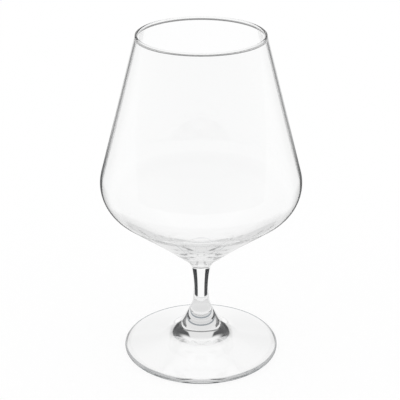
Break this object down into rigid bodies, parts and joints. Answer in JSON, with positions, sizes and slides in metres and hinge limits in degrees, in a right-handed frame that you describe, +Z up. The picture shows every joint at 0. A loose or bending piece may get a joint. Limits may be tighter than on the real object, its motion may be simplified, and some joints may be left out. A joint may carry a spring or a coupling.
{
  "type": "brandy snifter",
  "caption": "Clear glass brandy snifter: wide bowl narrowing to a beaded rim, short waisted stem and a round foot that flares up to the stem.",
  "frame": {"origin": "middle of the foot, on the surface that the glass stands on", "axes": "+Z up along the axis that all three pieces are turned round"},
  "size_m": [0.0948, 0.0948, 0.16],
  "materials": {
    "clear_glass": "clear, fire polished"
  },
  "bodies": {
    "root": {"bowl": "clear_glass", "stem": "clear_glass", "foot": "clear_glass"}
  },
  "joints": []
}
